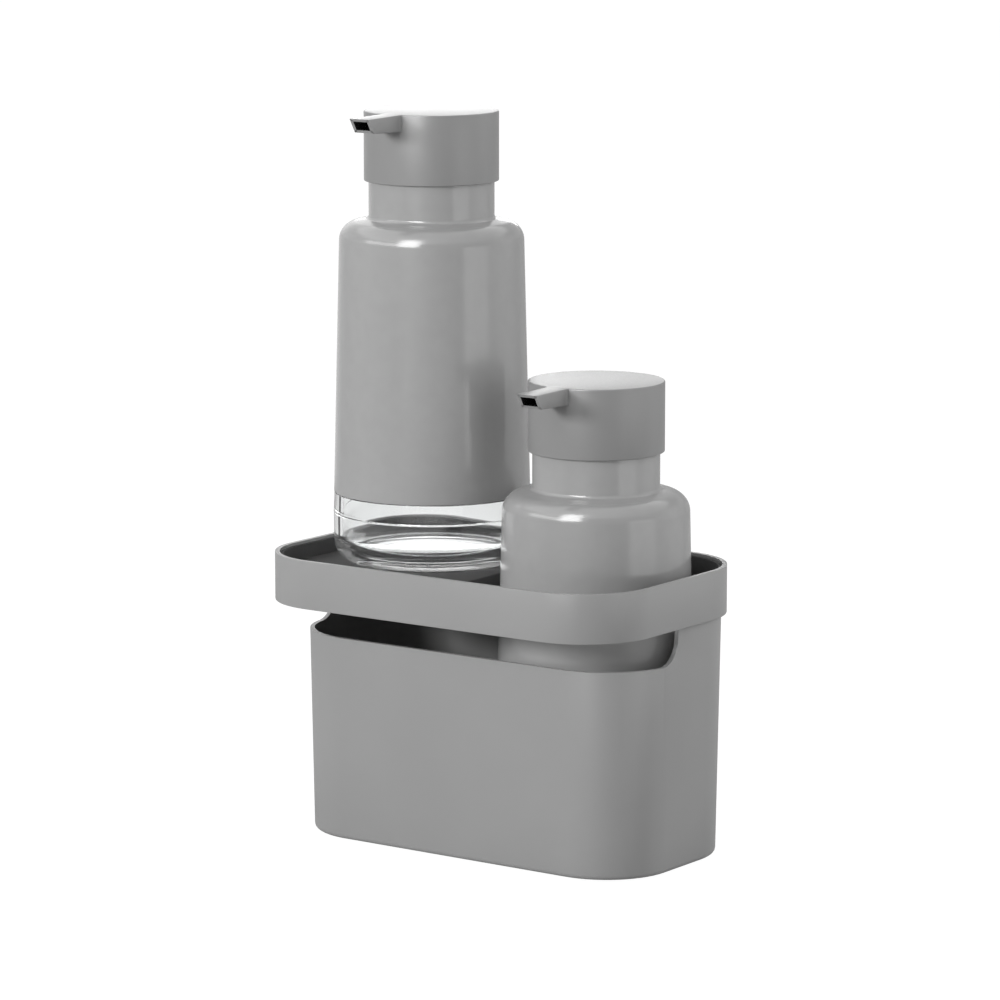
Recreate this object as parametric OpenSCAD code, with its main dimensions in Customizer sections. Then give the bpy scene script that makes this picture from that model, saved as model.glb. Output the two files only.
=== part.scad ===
// Sink organizer: a deep bin with an overhanging cloth rail, a drop-in shelf tray and two soap dispensers.
// The origin is under the centre of the rail's outline, on the surface that the feet stand on.
// X runs along the bin, -Y is the front with the rail's overhang and the spouts, and Z is up.

/* [Dispenser] */
// Height of the shoulder's highest point above the foot
shoulder_height = 115.7; // [100:0.1:130]
// Height of the head's top above the shoulder
head_rise = 35.7; // [34:0.1:60]
// Largest radius of the bottle, in its clear window
bottle_r = 33.1; // [31:0.1:38]
// Height of the bottle's widest level above the foot
widest_height = 15.6; // [12:0.1:17]
// Height of the clear glass window above the foot
window_height = 23.6; // [18:0.1:30]
// Narrowing of the window from its widest level to the sleeve
window_narrowing = 0.1; // [0:0.05:0.3]
// Draft of the body, in degrees from vertical
body_taper = 1.4; // [0.5:0.1:1.8]
// Radius of the shoulder's outer corner
shoulder_r = 6.5; // [4:0.1:8]
// Fall of the shoulder from the neck to the corner
shoulder_fall = 1.1; // [0.2:0.1:1.5]
// Outer radius of the neck, over the sleeve
neck_r = 21; // [19:0.1:22]
// Radius of the hollow fillet between neck and shoulder
neck_fillet = 1.3; // [0.8:0.1:2]
// Flat radius of the foot
foot_r = 25.5; // [22:0.1:27]
// Width of the ring that the bottle stands on
foot_ring = 4; // [2:0.1:8]
// Rise of the hollow under the bottle
punt_rise = 1; // [0.5:0.1:2]
// Thickness of the glass floor
glass_floor = 4.2; // [3:0.1:6]
// Radius of the flat part of the glass floor
floor_flat_r = 20.8; // [16:0.1:22]
// Glass wall in the window
window_wall = 2.6; // [2:0.1:3.5]
// Glass wall under the sleeve
sleeved_glass = 1.9; // [1.4:0.1:2.4]
// Wall of the grip sleeve
sleeve_wall = 1; // [0.8:0.1:1.4]
// Gap between the sleeve and the glass
sleeve_gap = 0.1; // [0.05:0.05:0.2]
// Depth of the sleeve's upper edge below the glass mouth
sleeve_drop = 0.6; // [0.3:0.1:1]

/* [Pump head] */
// Outer radius of the head
head_r = 22.5; // [22.4:0.1:26]
// Height of the head, from the skirt's edge to the top
head_height = 23.3; // [20:0.1:24]
// Wall of the head's skirt
skirt_wall = 1.1; // [0.8:0.1:1.2]
// Thickness of the head's roof
roof = 1.6; // [1.2:0.1:2]
// Rounding of the head's upper edge
head_edge = 0.4; // [0.2:0.1:0.8]
// Reach of the spout from the pump's axis
spout_reach = 39.6; // [34:0.1:48]
// Width of the spout
spout_width = 7.8; // [7:0.1:10]
// Height of the spout where it leaves the head
spout_root = 5.5; // [5:0.1:7]
// Height of the spout at its tip
spout_tip = 4.7; // [3.6:0.1:5]
// Fall of the spout's top from the head to the tip
spout_fall = 0.3; // [0:0.1:1]
// How far the tip's lower edge stands behind its upper edge
tip_rake = 2.9; // [0:0.1:3]
// Roof and floor of the spout's duct
spout_wall = 0.9; // [0.7:0.05:1]
// Side walls of the spout's duct
spout_cheek = 1.2; // [0.8:0.1:1.4]
// Outer radius of the socket that takes the stem
socket_r = 5.4; // [4.8:0.1:6]
// Depth of the socket below the roof
socket_depth = 7.5; // [6:0.1:8]

/* [Pump] */
// Stroke of the head
stroke = 9; // [6:0.1:10]
// Thickness of the stopper's flange
stopper_flange = 2; // [1.5:0.1:2.5]
// Length of the stopper's plug in the neck
plug_length = 8; // [7:0.1:9]
// Wall of the stopper's plug and of its well
stopper_wall = 1.6; // [1.2:0.1:2]
// Gap between the plug and the glass
plug_gap = 0.5; // [0.4:0.05:0.7]
// Height of the seal ring
seal_height = 2.4; // [1.8:0.1:3]
// Depth of the seal ring's groove
seal_groove = 0.8; // [0.6:0.1:1]
// Bore radius of the barrel
barrel_bore = 6.2; // [6:0.1:7]
// Wall of the barrel
barrel_wall = 1.3; // [1:0.1:1.6]
// Width of the barrel's flange beyond its wall
barrel_lip = 2; // [1.5:0.1:2.5]
// Thickness of the barrel's flange
flange_thickness = 1.4; // [1:0.1:1.8]
// Inner length of the barrel below its flange
barrel_length = 31; // [28:0.1:36]
// Thickness of the barrel's floor
barrel_floor = 2; // [1.5:0.1:2.5]
// Thickness of the gland's disc
gland_disc = 1.1; // [0.8:0.1:1.4]
// Length of the gland's guide tube
gland_guide = 7; // [5:0.1:8]
// Outer radius of the stem
stem_r = 3.5; // [3.2:0.1:3.8]
// Bore radius of the stem
stem_bore = 2.2; // [1.8:0.1:2.4]
// Height of the piston
piston_height = 5.2; // [4.6:0.1:6]
// Wall of the piston's hub
piston_hub = 1; // [0.8:0.1:1.2]
// Thickness of the piston's lips
piston_lip = 0.8; // [0.6:0.1:1]
// Radius of the check ball
ball_r = 2.2; // [2:0.1:2.5]
// Radius of the inlet under the check ball
inlet_r = 1.6; // [1.2:0.1:1.8]
// Outer radius of the dip tube
tube_r = 3; // [2.7:0.1:3.2]
// Wall of the dip tube
tube_wall = 0.8; // [0.6:0.1:1]
// Length of the socket that holds the dip tube
tube_socket = 8; // [6:0.1:10]
// Height of the dip tube's end above the window
tube_end = 2; // [1:0.1:6]
// Wire diameter of the return spring
wire = 0.9; // [0.7:0.1:1]
// Turns of the return spring
spring_turns = 7; // [5:1:8]
// Running clearance of the pump's round fits
running = 0.05; // [0.03:0.01:0.08]

/* [Bin] */
// Gap between the two dispensers at their widest
dispenser_gap = 0.6; // [0.5:0.1:6]
// Wall of the bin
bin_wall = 1.6; // [1.2:0.1:2]
// Free space beside a dispenser at the foot of the bin
side_play = 0.3; // [0.3:0.1:3]
// Free space between a dispenser and the end of the bin
end_play = 1.1; // [0.5:0.1:6]
// Outer corner radius of the bin at its foot
bin_corner = 23.9; // [16:0.1:26]
// Draft of the bin, in degrees from vertical
bin_draft = 1; // [0.5:0.1:1.2]
// Height of the bin's front wall
front_height = 69; // [60:0.1:80]
// Height of the bin's floor above its lower edge
floor_rise = 6.6; // [5:0.1:9]
// Thickness of the bin's floor
floor_thickness = 2; // [1.6:0.1:3]
// Rounding of the bin's lower edge
bin_edge = 1.5; // [1:0.1:1.5]

/* [Rail] */
// Height of the open slot between the bin's front wall and the rail
slot_height = 12.1; // [10:0.1:16]
// Radius of the slot's lower corners
slot_corner = 8.5; // [5:0.1:9]
// Distance of the slot's ends in front of the bin's centre line
slot_end = 6.8; // [0:0.1:8]
// Height of the rail
rail_height = 16.2; // [14:0.1:22]
// Wall of the rail
rail_wall = 1.4; // [1.2:0.1:1.8]
// Corner radius of the rail
rail_corner = 25.4; // [20:0.1:27]
// Reach of the rail in front of the bin
front_reach = 16; // [13:0.1:22]
// Step from the bin to the rail at the ends
end_step = 2; // [1.8:0.1:3]
// Step from the bin to the rail at the back
back_step = 0.3; // [0.1:0.1:0.8]
// Thickness of the ledge that joins the bin to the rail
ledge = 1.6; // [1.2:0.1:2]

/* [Tray] */
// Depth of the shelf's upper face below the rail's rim
deck_drop = 5.8; // [4:0.1:7]
// Thickness of the shelf
deck_thickness = 1.8; // [1.4:0.1:2.4]
// Wall of the tray's band
tray_wall = 1.2; // [1:0.1:1.6]
// Gap between the tray's band and the rail
tray_gap = 0.3; // [0.25:0.05:0.5]
// Depth of the band's rim below the rail's rim
band_drop = 0.8; // [0.4:0.1:1.5]
// Free space between the shelf's edge and the lower dispenser
deck_play = 0.8; // [0.6:0.1:1.5]
// Depth of the stiffening lips under the shelf
lip_depth = 4.5; // [3:0.1:6]
// Gap between a piece that lifts off and what it stands on
rest_gap = 0.3; // [0.2:0.05:0.4]

/* [Feet] */
// Radius of a foot pad
pad_r = 5; // [4:0.1:6]
// Height that a pad stands proud of the bin
pad_proud = 0.8; // [0.5:0.1:1.2]
// Depth of a pad's pocket
pad_pocket = 1; // [0.8:0.1:1.5]
// Clearance round a pad
pad_gap = 0.05; // [0.03:0.01:0.1]
// Wall of the boss round a pad
boss_wall = 1.5; // [1.2:0.1:2]
// Distance of a boss from the bin's wall
boss_inset = 5; // [2:0.1:7]

/* [Hidden] */
$fn = 96;

// Colours, as the photograph shows them
bin_grey = "#9b9b9b";
tray_grey = "#3a3a3a";
sleeve_grey = "#a6a6a6";
head_grey = "#878787";
glass_clear = [0.86, 0.9, 0.9, 0.4];
pump_white = "#e6e6e6";
rubber_grey = "#505050";
steel = "#b8bcc0";

// Levels, from the surface up
z_bin = pad_proud;
z_floor = z_bin + floor_rise;
z_slot = z_bin + front_height;
z_rail = z_slot + slot_height;
z_rim = z_rail + rail_height;
z_deck = z_rim - deck_drop;

// Plan of the bin and the rail
axis_x = bottle_r + dispenser_gap / 2;
bin_length = 2 * (axis_x + bottle_r + end_play + bin_wall);
bin_width = 2 * (bottle_r + side_play + bin_wall);
draft = tan(bin_draft);
bin_height = z_rail - z_bin;
bin_flare = draft * bin_height;
rail_length = bin_length + 2 * (bin_flare + end_step);
rail_width = bin_width + 2 * bin_flare + front_reach + back_step;
bin_y = (front_reach - back_step) / 2;

// Overlaps of a cut and of a union, and small gaps of fitted pieces
cut = 1;
sink = 0.5;
hair = 0.02;
well_play = 0.2;
spring_play = 0.5;

// Space left at the end of the head's travel, and the duct floor over the stem
travel_spare = 0.5;
stem_inset = 0.5;

// Height over which the glass wall thins behind the sleeve
wall_change = 4;

// Body of a dispenser, in its own frame with the foot at z = 0
dispenser_height = shoulder_height + head_rise;
taper = tan(body_taper);
flange_z = dispenser_height - spout_root - stroke - travel_spare - stopper_flange;
neck_top = flange_z - rest_gap;
glass_skin = sleeve_wall + sleeve_gap;
mouth_r = neck_r - glass_skin - sleeved_glass;
window_r = bottle_r - window_narrowing;
shoulder_z = shoulder_height - shoulder_fall - shoulder_r;
heel_r = bottle_r - foot_r;

// Pump of a dispenser, in the same frame
plug_r = mouth_r - plug_gap;
barrel_r = barrel_bore + barrel_wall;
barrel_flange_r = barrel_r + barrel_lip;
gland_top = dispenser_height - roof - socket_depth - stroke - travel_spare;
barrel_top = gland_top - gland_disc;
barrel_seat = barrel_top - flange_thickness;
barrel_base = barrel_seat - barrel_length;
well_r = barrel_flange_r + well_play;
guide_end = barrel_top - gland_guide;
piston_top = guide_end - rest_gap;
piston_base = piston_top - piston_height;
tube_top = barrel_base - barrel_floor;
spring_r = barrel_bore - wire / 2 - spring_play;
spring_low = barrel_base + wire / 2;
spring_high = piston_base - wire / 2 - running;
stem_top = dispenser_height - spout_root - stem_inset;

// Points of an arc about c, from one angle to another in n steps
function arc(c, r, from, to, n) = [for (i = [0 : n]) let (a = from + (to - from) * i / n)
    [c[0] + r * cos(a), c[1] + r * sin(a)]];

// Radius of the sleeve's outer face at a height
function body_r(z) = window_r - taper * (z - window_height);

// The sleeved surface at a depth under the outer face, from a height up to the neck's top
function skin(depth, from_z, to_z) = concat(
    [[body_r(from_z) - depth, from_z]],
    arc([body_r(shoulder_z) - shoulder_r, shoulder_z], shoulder_r - depth, 0, 90, 12),
    arc([neck_r + neck_fillet, shoulder_height + neck_fillet], neck_fillet + depth, 270, 180, 6),
    [[neck_r - depth, to_z]]);

function backwards(points) = [for (i = [len(points) - 1 : -1 : 0]) points[i]];

// A solid turned from a half profile
module turned(points) {
    rotate_extrude() polygon(points);
}

// A tube from z0 to z1
module tube(outer, inner, z0, z1) {
    difference() {
        translate([0, 0, z0]) cylinder(r = outer, h = z1 - z0);
        translate([0, 0, z0 - cut]) cylinder(r = inner, h = z1 - z0 + 2 * cut);
    }
}

// A flat rectangle with round corners
module round_rect(l, w, r) {
    square([l - 2 * r, w], center = true);
    square([l, w - 2 * r], center = true);
    for (x = [-1, 1], y = [-1, 1]) translate([x * (l / 2 - r), y * (w / 2 - r)]) circle(r = r);
}

// A profile swept round a rounded rectangle, with x = 0 of the profile on the corners' axes
module swept_round(l, w, r) {
    for (i = [0 : 3]) {
        across = i % 2 == 0 ? l : w;
        along = i % 2 == 0 ? w : l;
        rotate([0, 0, 90 * i]) translate([across / 2 - r, along / 2 - r, 0]) {
            rotate([90, 0, 0]) linear_extrude(height = along - 2 * r) children();
            rotate_extrude(angle = 90) children();
        }
    }
}

// Bin and rail, one moulding

// Section of the bin's wall, drafted, with its lower edge rounded
module bin_section() {
    polygon([
        [bin_corner - bin_wall, 0],
        [bin_corner - bin_edge, 0],
        [bin_corner - bin_edge, bin_edge],
        [bin_corner + draft * bin_edge, bin_edge],
        [bin_corner + bin_flare, bin_height],
        [bin_corner + bin_flare - bin_wall, bin_height],
    ]);
    intersection() {
        translate([bin_corner - bin_edge, bin_edge]) circle(r = bin_edge);
        translate([bin_corner - bin_edge, 0]) square([bin_edge, bin_edge]);
    }
}

// Section of the rail, with a round rim and a rounded lower edge
module rail_section() {
    rim = rail_wall / 2;
    inner = rail_corner - rail_wall;
    translate([inner, rail_wall]) square([rail_wall, rail_height - rail_wall - rim]);
    translate([inner + rim, rail_height - rim]) circle(r = rim);
    intersection() {
        translate([inner, rail_wall]) circle(r = rail_wall);
        translate([inner, 0]) square([rail_wall, rail_wall]);
    }
}

// The opening above the front wall, which wraps round both front corners
module slot_cutter() {
    reach = rail_length;
    end_y = bin_y - slot_end;
    translate([-reach / 2, end_y - reach, z_slot + slot_corner]) cube([reach, reach, slot_height]);
    translate([-reach / 2, end_y - slot_corner - reach, z_slot]) cube([reach, reach, slot_height]);
    translate([-reach / 2, end_y - slot_corner, z_slot + slot_corner]) rotate([0, 90, 0])
        cylinder(r = slot_corner, h = reach);
}

// Plan of the bin at a height above its lower edge, drawn in by an inset
module bin_plan(height, inset) {
    grow = 2 * (draft * height - inset);
    translate([0, bin_y]) round_rect(bin_length + grow, bin_width + grow, bin_corner + grow / 2);
}

module foot_places() {
    out = bin_corner - bin_wall - boss_inset - pad_r - boss_wall;
    for (x = [-1, 1], y = [-1, 1])
        translate([x * (bin_length / 2 - bin_corner + out * cos(45)),
            bin_y + y * (bin_width / 2 - bin_corner + out * sin(45)), 0]) children();
}

module outer_bin() color(bin_grey) {
    difference() {
        translate([0, bin_y, z_bin]) swept_round(bin_length, bin_width, bin_corner) bin_section();
        slot_cutter();
    }
    translate([0, 0, z_floor - floor_thickness]) linear_extrude(height = floor_thickness)
        bin_plan(floor_rise, bin_wall / 2);
    difference() {
        foot_places() translate([0, 0, z_bin]) cylinder(r = pad_r + boss_wall, h = floor_rise - sink);
        foot_places() translate([0, 0, z_bin - cut]) cylinder(r = pad_r + pad_gap, h = pad_pocket + cut);
    }
    translate([0, 0, z_rail]) swept_round(rail_length, rail_width, rail_corner) rail_section();
    translate([0, 0, z_rail]) linear_extrude(height = ledge) difference() {
        intersection() {
            round_rect(rail_length - rail_wall, rail_width - rail_wall, rail_corner - rail_wall / 2);
            translate([-rail_length, bin_y - slot_end]) square([2 * rail_length, rail_width]);
        }
        bin_plan(bin_height, bin_wall);
    }
}

module foot_pads() color(rubber_grey) {
    foot_places() cylinder(r = pad_r, h = pad_proud + pad_pocket);
}

// Tray: a band that lines the rail and a shelf over the left half of the bin

module inner_tray() color(tray_grey) {
    band_l = rail_length - 2 * (rail_wall + tray_gap);
    band_w = rail_width - 2 * (rail_wall + tray_gap);
    band_r = rail_corner - rail_wall - tray_gap;
    band_low = z_rail + ledge + rest_gap;
    deck_front = bin_y - bin_width / 2;
    deck_right = axis_x - bottle_r - deck_play;
    lip_low = z_deck - deck_thickness - lip_depth;
    translate([0, 0, band_low]) swept_round(band_l, band_w, band_r)
        translate([band_r - tray_wall, 0]) square([tray_wall, z_rim - band_drop - band_low]);
    translate([0, 0, z_deck - deck_thickness]) linear_extrude(height = deck_thickness) intersection() {
        round_rect(band_l - tray_wall, band_w - tray_wall, band_r - tray_wall / 2);
        translate([deck_right - rail_length, deck_front]) square([rail_length, rail_width]);
    }
    translate([0, 0, lip_low]) linear_extrude(height = z_deck - sink - lip_low) intersection() {
        round_rect(band_l - tray_wall, band_w - tray_wall, band_r - tray_wall / 2);
        union() {
            translate([deck_right - rail_length, deck_front]) square([rail_length, tray_wall]);
            translate([deck_right - tray_wall, deck_front]) square([tray_wall, rail_width]);
        }
    }
}

// Dispenser pieces, each in the dispenser's own frame

module glass_bottle() {
    inner_low_r = bottle_r - window_wall;
    floor_arc = inner_low_r - floor_flat_r;
    turned(concat(
        [[0, punt_rise], [foot_r - foot_ring, 0]],
        arc([foot_r, heel_r], heel_r, 270, 360, 12),
        [[bottle_r, widest_height], [window_r, window_height]],
        skin(glass_skin, window_height, neck_top),
        backwards(skin(glass_skin + sleeved_glass, window_height + wall_change, neck_top)),
        arc([floor_flat_r, glass_floor + floor_arc], floor_arc, 360, 270, 12),
        [[0, glass_floor]]));
}

module grip_sleeve() {
    low = window_height + sleeve_gap;
    high = neck_top - sleeve_drop;
    turned(concat(skin(0, low, high), backwards(skin(sleeve_wall, low, high))));
}

module stopper() {
    well_low = barrel_seat - stopper_wall;
    tube(neck_r - glass_skin, well_r, flange_z, flange_z + stopper_flange);
    difference() {
        tube(plug_r, plug_r - stopper_wall, flange_z - plug_length, flange_z + sink);
        translate([0, 0, flange_z - plug_length / 2 - seal_height / 2])
            tube(plug_r + cut, plug_r - seal_groove, 0, seal_height);
    }
    tube(well_r + stopper_wall, well_r, well_low, flange_z + sink);
    tube(well_r + stopper_wall, barrel_r + running, well_low, barrel_seat);
}

module seal_ring() {
    bead = seal_height / 2;
    low = flange_z - plug_length / 2;
    groove = plug_r - seal_groove + hair;
    rotate_extrude() intersection() {
        translate([groove, low - bead + running]) square([mouth_r - running - groove, 2 * (bead - running)]);
        translate([mouth_r - running - bead, low]) circle(r = bead);
    }
}

module barrel() {
    difference() {
        union() {
            tube(barrel_flange_r, barrel_bore, barrel_seat, barrel_top);
            translate([0, 0, tube_top]) cylinder(r = barrel_r, h = barrel_seat - tube_top + sink);
            translate([0, 0, tube_top - tube_socket])
                cylinder(r = tube_r + barrel_wall, h = tube_socket + sink);
        }
        translate([0, 0, barrel_base]) cylinder(r = barrel_bore, h = barrel_length + flange_thickness + cut);
        translate([0, 0, tube_top - cut]) cylinder(r = inlet_r, h = barrel_floor + 2 * cut);
        translate([0, 0, tube_top - tube_socket - cut]) cylinder(r = tube_r + running, h = tube_socket + cut);
    }
}

module gland() {
    tube(barrel_flange_r, stem_r + running, barrel_top, gland_top);
    tube(barrel_bore - running, stem_r + running, guide_end, barrel_top + sink);
}

module check_ball() {
    translate([0, 0, barrel_base + sqrt(ball_r * ball_r - inlet_r * inlet_r) + hair]) sphere(r = ball_r);
}

module dip_tube() {
    tube(tube_r, tube_r - tube_wall, window_height + tube_end, tube_top);
}

module stem() {
    tube(stem_r, stem_bore, piston_base, stem_top);
}

// A cup seal: a sleeve on the stem with a lip that sweeps the bore
module piston() {
    hub = stem_r + piston_hub;
    lip = barrel_bore - running;
    inner_lip = lip - piston_lip;
    turned([
        [stem_r, piston_base],
        [hub, piston_base],
        [hub, piston_base + 2 * piston_lip],
        [inner_lip, piston_base + piston_lip],
        [lip, piston_base + piston_lip],
        [lip, piston_top - piston_lip],
        [inner_lip, piston_top - piston_lip],
        [hub, piston_top - 2 * piston_lip],
        [hub, piston_top],
        [stem_r, piston_top],
    ]);
}

// A wire wound as one unbroken helix, with its ends level on the barrel's floor and the piston
module return_spring() {
    sides = 6;
    per_turn = 8;
    rings = spring_turns * per_turn;
    rise = spring_high - spring_low;
    points = [for (i = [0 : rings], k = [0 : sides - 1])
        let (a = 360 * i / per_turn, b = 360 * (k + 0.5) / sides, r = spring_r + wire / 2 * cos(b))
            [r * cos(a), r * sin(a), spring_low + rise * i / rings + wire / 2 * sin(b)]];
    walls = [for (i = [0 : rings - 1], k = [0 : sides - 1])
        let (p = i * sides + k, q = i * sides + (k + 1) % sides)
            each [[p, q, p + sides], [q, q + sides, p + sides]]];
    caps = [for (k = [1 : sides - 2])
        each [[0, k + 1, k], [rings * sides, rings * sides + k, rings * sides + k + 1]]];
    polyhedron(points, concat(walls, caps));
}

// Side outline of the spout, drawn in by a wall and run on past the tip by an extra length
module spout_side(wall, extra) {
    top = dispenser_height;
    tip_top = top - spout_fall;
    slope = spout_fall / (spout_reach - head_r);
    polygon([
        [0, top - wall],
        [head_r, top - wall],
        [spout_reach + extra, tip_top - wall - slope * extra],
        [spout_reach - tip_rake + extra, tip_top - spout_tip + wall],
        [head_r, top - spout_root + wall],
        [0, top - spout_root + wall],
    ]);
}

// A prism of the spout's side outline, centred on the axis and pointing to -Y
module spout_prism(width, wall, extra) {
    rotate([0, 0, -90]) translate([0, width / 2, 0]) rotate([90, 0, 0])
        linear_extrude(height = width) spout_side(wall, extra);
}

module pump_head() {
    top = dispenser_height;
    low = top - head_height;
    inner = head_r - skirt_wall;
    difference() {
        union() {
            turned(concat(
                [[inner, low]],
                [[head_r, low]],
                arc([head_r - head_edge, top - head_edge], head_edge, 0, 90, 4),
                [[0, top], [0, top - roof - socket_depth], [socket_r, top - roof - socket_depth],
                    [socket_r, top - roof], [inner, top - roof]]));
            spout_prism(spout_width, 0, 0);
        }
        spout_prism(spout_width - 2 * spout_cheek, spout_wall, cut);
        translate([0, 0, top - roof - socket_depth - cut])
            cylinder(r = stem_r + running, h = stem_top + running - (top - roof - socket_depth - cut));
        translate([0, 0, stem_top - cut]) cylinder(r = stem_bore, h = spout_root - spout_wall + cut);
    }
}

// The left dispenser stands on the shelf, and the right one on the bin's floor

module at_left() translate([-axis_x, bin_y, z_deck + rest_gap]) children();
module at_right() translate([axis_x, bin_y, z_floor + rest_gap]) children();

module left_bottle() color(glass_clear) at_left() glass_bottle();
module left_sleeve() color(sleeve_grey) at_left() grip_sleeve();
module left_stopper() color(pump_white) at_left() stopper();
module left_seal_ring() color(rubber_grey) at_left() seal_ring();
module left_barrel() color(pump_white) at_left() barrel();
module left_gland() color(pump_white) at_left() gland();
module left_check_ball() color(steel) at_left() check_ball();
module left_dip_tube() color(pump_white) at_left() dip_tube();
module left_spring() color(steel) at_left() return_spring();
module left_piston() color(rubber_grey) at_left() piston();
module left_stem() color(pump_white) at_left() stem();
module left_head() color(head_grey) at_left() pump_head();

module right_bottle() color(glass_clear) at_right() glass_bottle();
module right_sleeve() color(sleeve_grey) at_right() grip_sleeve();
module right_stopper() color(pump_white) at_right() stopper();
module right_seal_ring() color(rubber_grey) at_right() seal_ring();
module right_barrel() color(pump_white) at_right() barrel();
module right_gland() color(pump_white) at_right() gland();
module right_check_ball() color(steel) at_right() check_ball();
module right_dip_tube() color(pump_white) at_right() dip_tube();
module right_spring() color(steel) at_right() return_spring();
module right_piston() color(rubber_grey) at_right() piston();
module right_stem() color(pump_white) at_right() stem();
module right_head() color(head_grey) at_right() pump_head();

outer_bin();
foot_pads();
inner_tray();
left_bottle();
left_sleeve();
left_stopper();
left_seal_ring();
left_barrel();
left_gland();
left_check_ball();
left_dip_tube();
left_spring();
left_piston();
left_stem();
left_head();
right_bottle();
right_sleeve();
right_stopper();
right_seal_ring();
right_barrel();
right_gland();
right_check_ball();
right_dip_tube();
right_spring();
right_piston();
right_stem();
right_head();
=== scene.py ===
import math

import bmesh
import bpy
from bpy.props import FloatProperty, IntProperty, PointerProperty, StringProperty
from mathutils import Matrix, Vector


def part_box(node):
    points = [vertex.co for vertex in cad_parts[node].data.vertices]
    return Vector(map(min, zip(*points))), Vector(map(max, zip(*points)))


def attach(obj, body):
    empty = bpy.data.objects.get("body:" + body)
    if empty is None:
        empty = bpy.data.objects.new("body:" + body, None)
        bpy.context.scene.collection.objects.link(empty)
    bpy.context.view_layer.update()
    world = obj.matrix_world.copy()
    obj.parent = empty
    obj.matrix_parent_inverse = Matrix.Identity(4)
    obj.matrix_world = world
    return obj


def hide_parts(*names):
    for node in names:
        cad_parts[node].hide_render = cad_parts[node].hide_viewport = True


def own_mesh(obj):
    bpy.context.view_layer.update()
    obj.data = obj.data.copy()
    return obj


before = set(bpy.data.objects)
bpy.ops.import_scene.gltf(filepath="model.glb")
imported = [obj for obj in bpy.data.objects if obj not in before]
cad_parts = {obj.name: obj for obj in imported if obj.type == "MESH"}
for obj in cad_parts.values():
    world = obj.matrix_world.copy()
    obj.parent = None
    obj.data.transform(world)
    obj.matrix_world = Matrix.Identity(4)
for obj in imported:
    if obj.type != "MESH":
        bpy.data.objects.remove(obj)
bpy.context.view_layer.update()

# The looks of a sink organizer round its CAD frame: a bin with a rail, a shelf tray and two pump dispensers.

bl_info = {
    "name": "Sink Organizer",
    "version": (1, 0, 0),
    "blender": (4, 5, 0),
    "location": "View3D > Sidebar > Organizer",
    "description": "Shapes and finishes a sink organizer with two pump dispensers round its CAD frame",
    "category": "Object",
}

MM = 0.001
SIDES = ("left", "right")

# The photograph's camera. Its turn is measured from the object's front towards the right.
CAMERA_PLACE = Vector((902.245, -1259.454, 380.101)) * MM
CAMERA_TARGET = Vector((-3.55, 5.31, 115.99)) * MM
CAMERA_TURN = math.radians(35.61)
CAMERA_LENS = 170.96
CAMERA_SENSOR = 36.0
CAMERA_CLIP = (0.05, 50.0)

WELD = 1e-7  # points closer than this are merged
FINE = 1e-6  # a point this near to a cut or a level lies on it
NEAR = 1e-5  # slack where edges are picked by their place
NOISE_LOW, NOISE_HIGH = 0.3, 0.7  # nearly all of a noise pattern lies between these values

BIN_LOW, BIN_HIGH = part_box("outer_bin")
TRAY_LOW, TRAY_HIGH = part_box("inner_tray")
PAD_LOW, PAD_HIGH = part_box("foot_pads")
PAD_RADIUS = 5 * MM
BOTTLE_LOW, BOTTLE_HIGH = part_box("left_bottle")
SLEEVE_LOW, SLEEVE_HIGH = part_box("left_sleeve")
HEAD_LOW, HEAD_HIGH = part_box("left_head")
STEM_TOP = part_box("left_stem")[1].z


# Properties and nodes


def length(name, description, default):
    """A length in metres for a property group, shown in the scene's units."""
    return FloatProperty(name=name, description=description, default=default, min=0.0, precision=5,
                         unit="LENGTH", subtype="DISTANCE")


def slope(name, description, degrees):
    """An angle for a property group."""
    return FloatProperty(name=name, description=description, default=math.radians(degrees), unit="ROTATION",
                         subtype="ANGLE")


def level(name, description, default, unit="NONE"):
    """A brightness, or a lamp's power in watts, for a property group."""
    return FloatProperty(name=name, description=description, default=default, min=0.0, unit=unit)


def shade(name, part, default):
    """The sRGB hex colour of a part for a property group."""
    return StringProperty(name=name, description=f"sRGB hex colour of {part}", default=default)


def linear(hex_colour):
    """Linear RGBA of an sRGB hex colour."""
    parts = [int(hex_colour[i:i + 2], 16) / 255 for i in (1, 3, 5)]
    return (*(c / 12.92 if c <= 0.04045 else ((c + 0.055) / 1.055) ** 2.4 for c in parts), 1.0)


def add_node(tree, kind, settings=None, **inputs):
    """Adds a shader node, sets its options, and fills or links its inputs by name, where an underscore stands for a
    space, or by number, as in i0. A node that is given for an input stands for its first output."""
    node = tree.nodes.new("ShaderNode" + kind)
    for name, value in (settings or {}).items():
        setattr(node, name, value)
    for name, value in inputs.items():
        key = int(name[1:]) if name[0] == "i" and name[1:].isdigit() else name.replace("_", " ")
        if isinstance(value, bpy.types.Node):
            value = value.outputs[0]
        if isinstance(value, bpy.types.NodeSocket):
            tree.links.new(value, node.inputs[key])
        else:
            node.inputs[key].default_value = value
    return node


def new_material(name):
    """An empty material and its node tree."""
    material = bpy.data.materials.new(name)
    material.use_nodes = True
    material.node_tree.nodes.clear()
    return material, material.node_tree


def set_ramp(node, stops):
    """Places the stops of a colour ramp, each a position and a linear grey or RGBA colour."""
    elements = node.color_ramp.elements
    while len(elements) > 1:
        elements.remove(elements[-1])
    for i, (position, colour) in enumerate(stops):
        stop = elements[0] if i == 0 else elements.new(position)
        stop.position = position
        stop.color = colour if isinstance(colour, tuple) else (colour, colour, colour, 1.0)


def noise(tree, size_mm, detail=1.0, **more):
    """A noise pattern in the object's own space, with spots of about a size."""
    place = add_node(tree, "TexCoord").outputs["Object"]
    return add_node(tree, "TexNoise", Vector=place, Scale=1 / (size_mm * MM), Detail=detail, **more)


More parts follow.
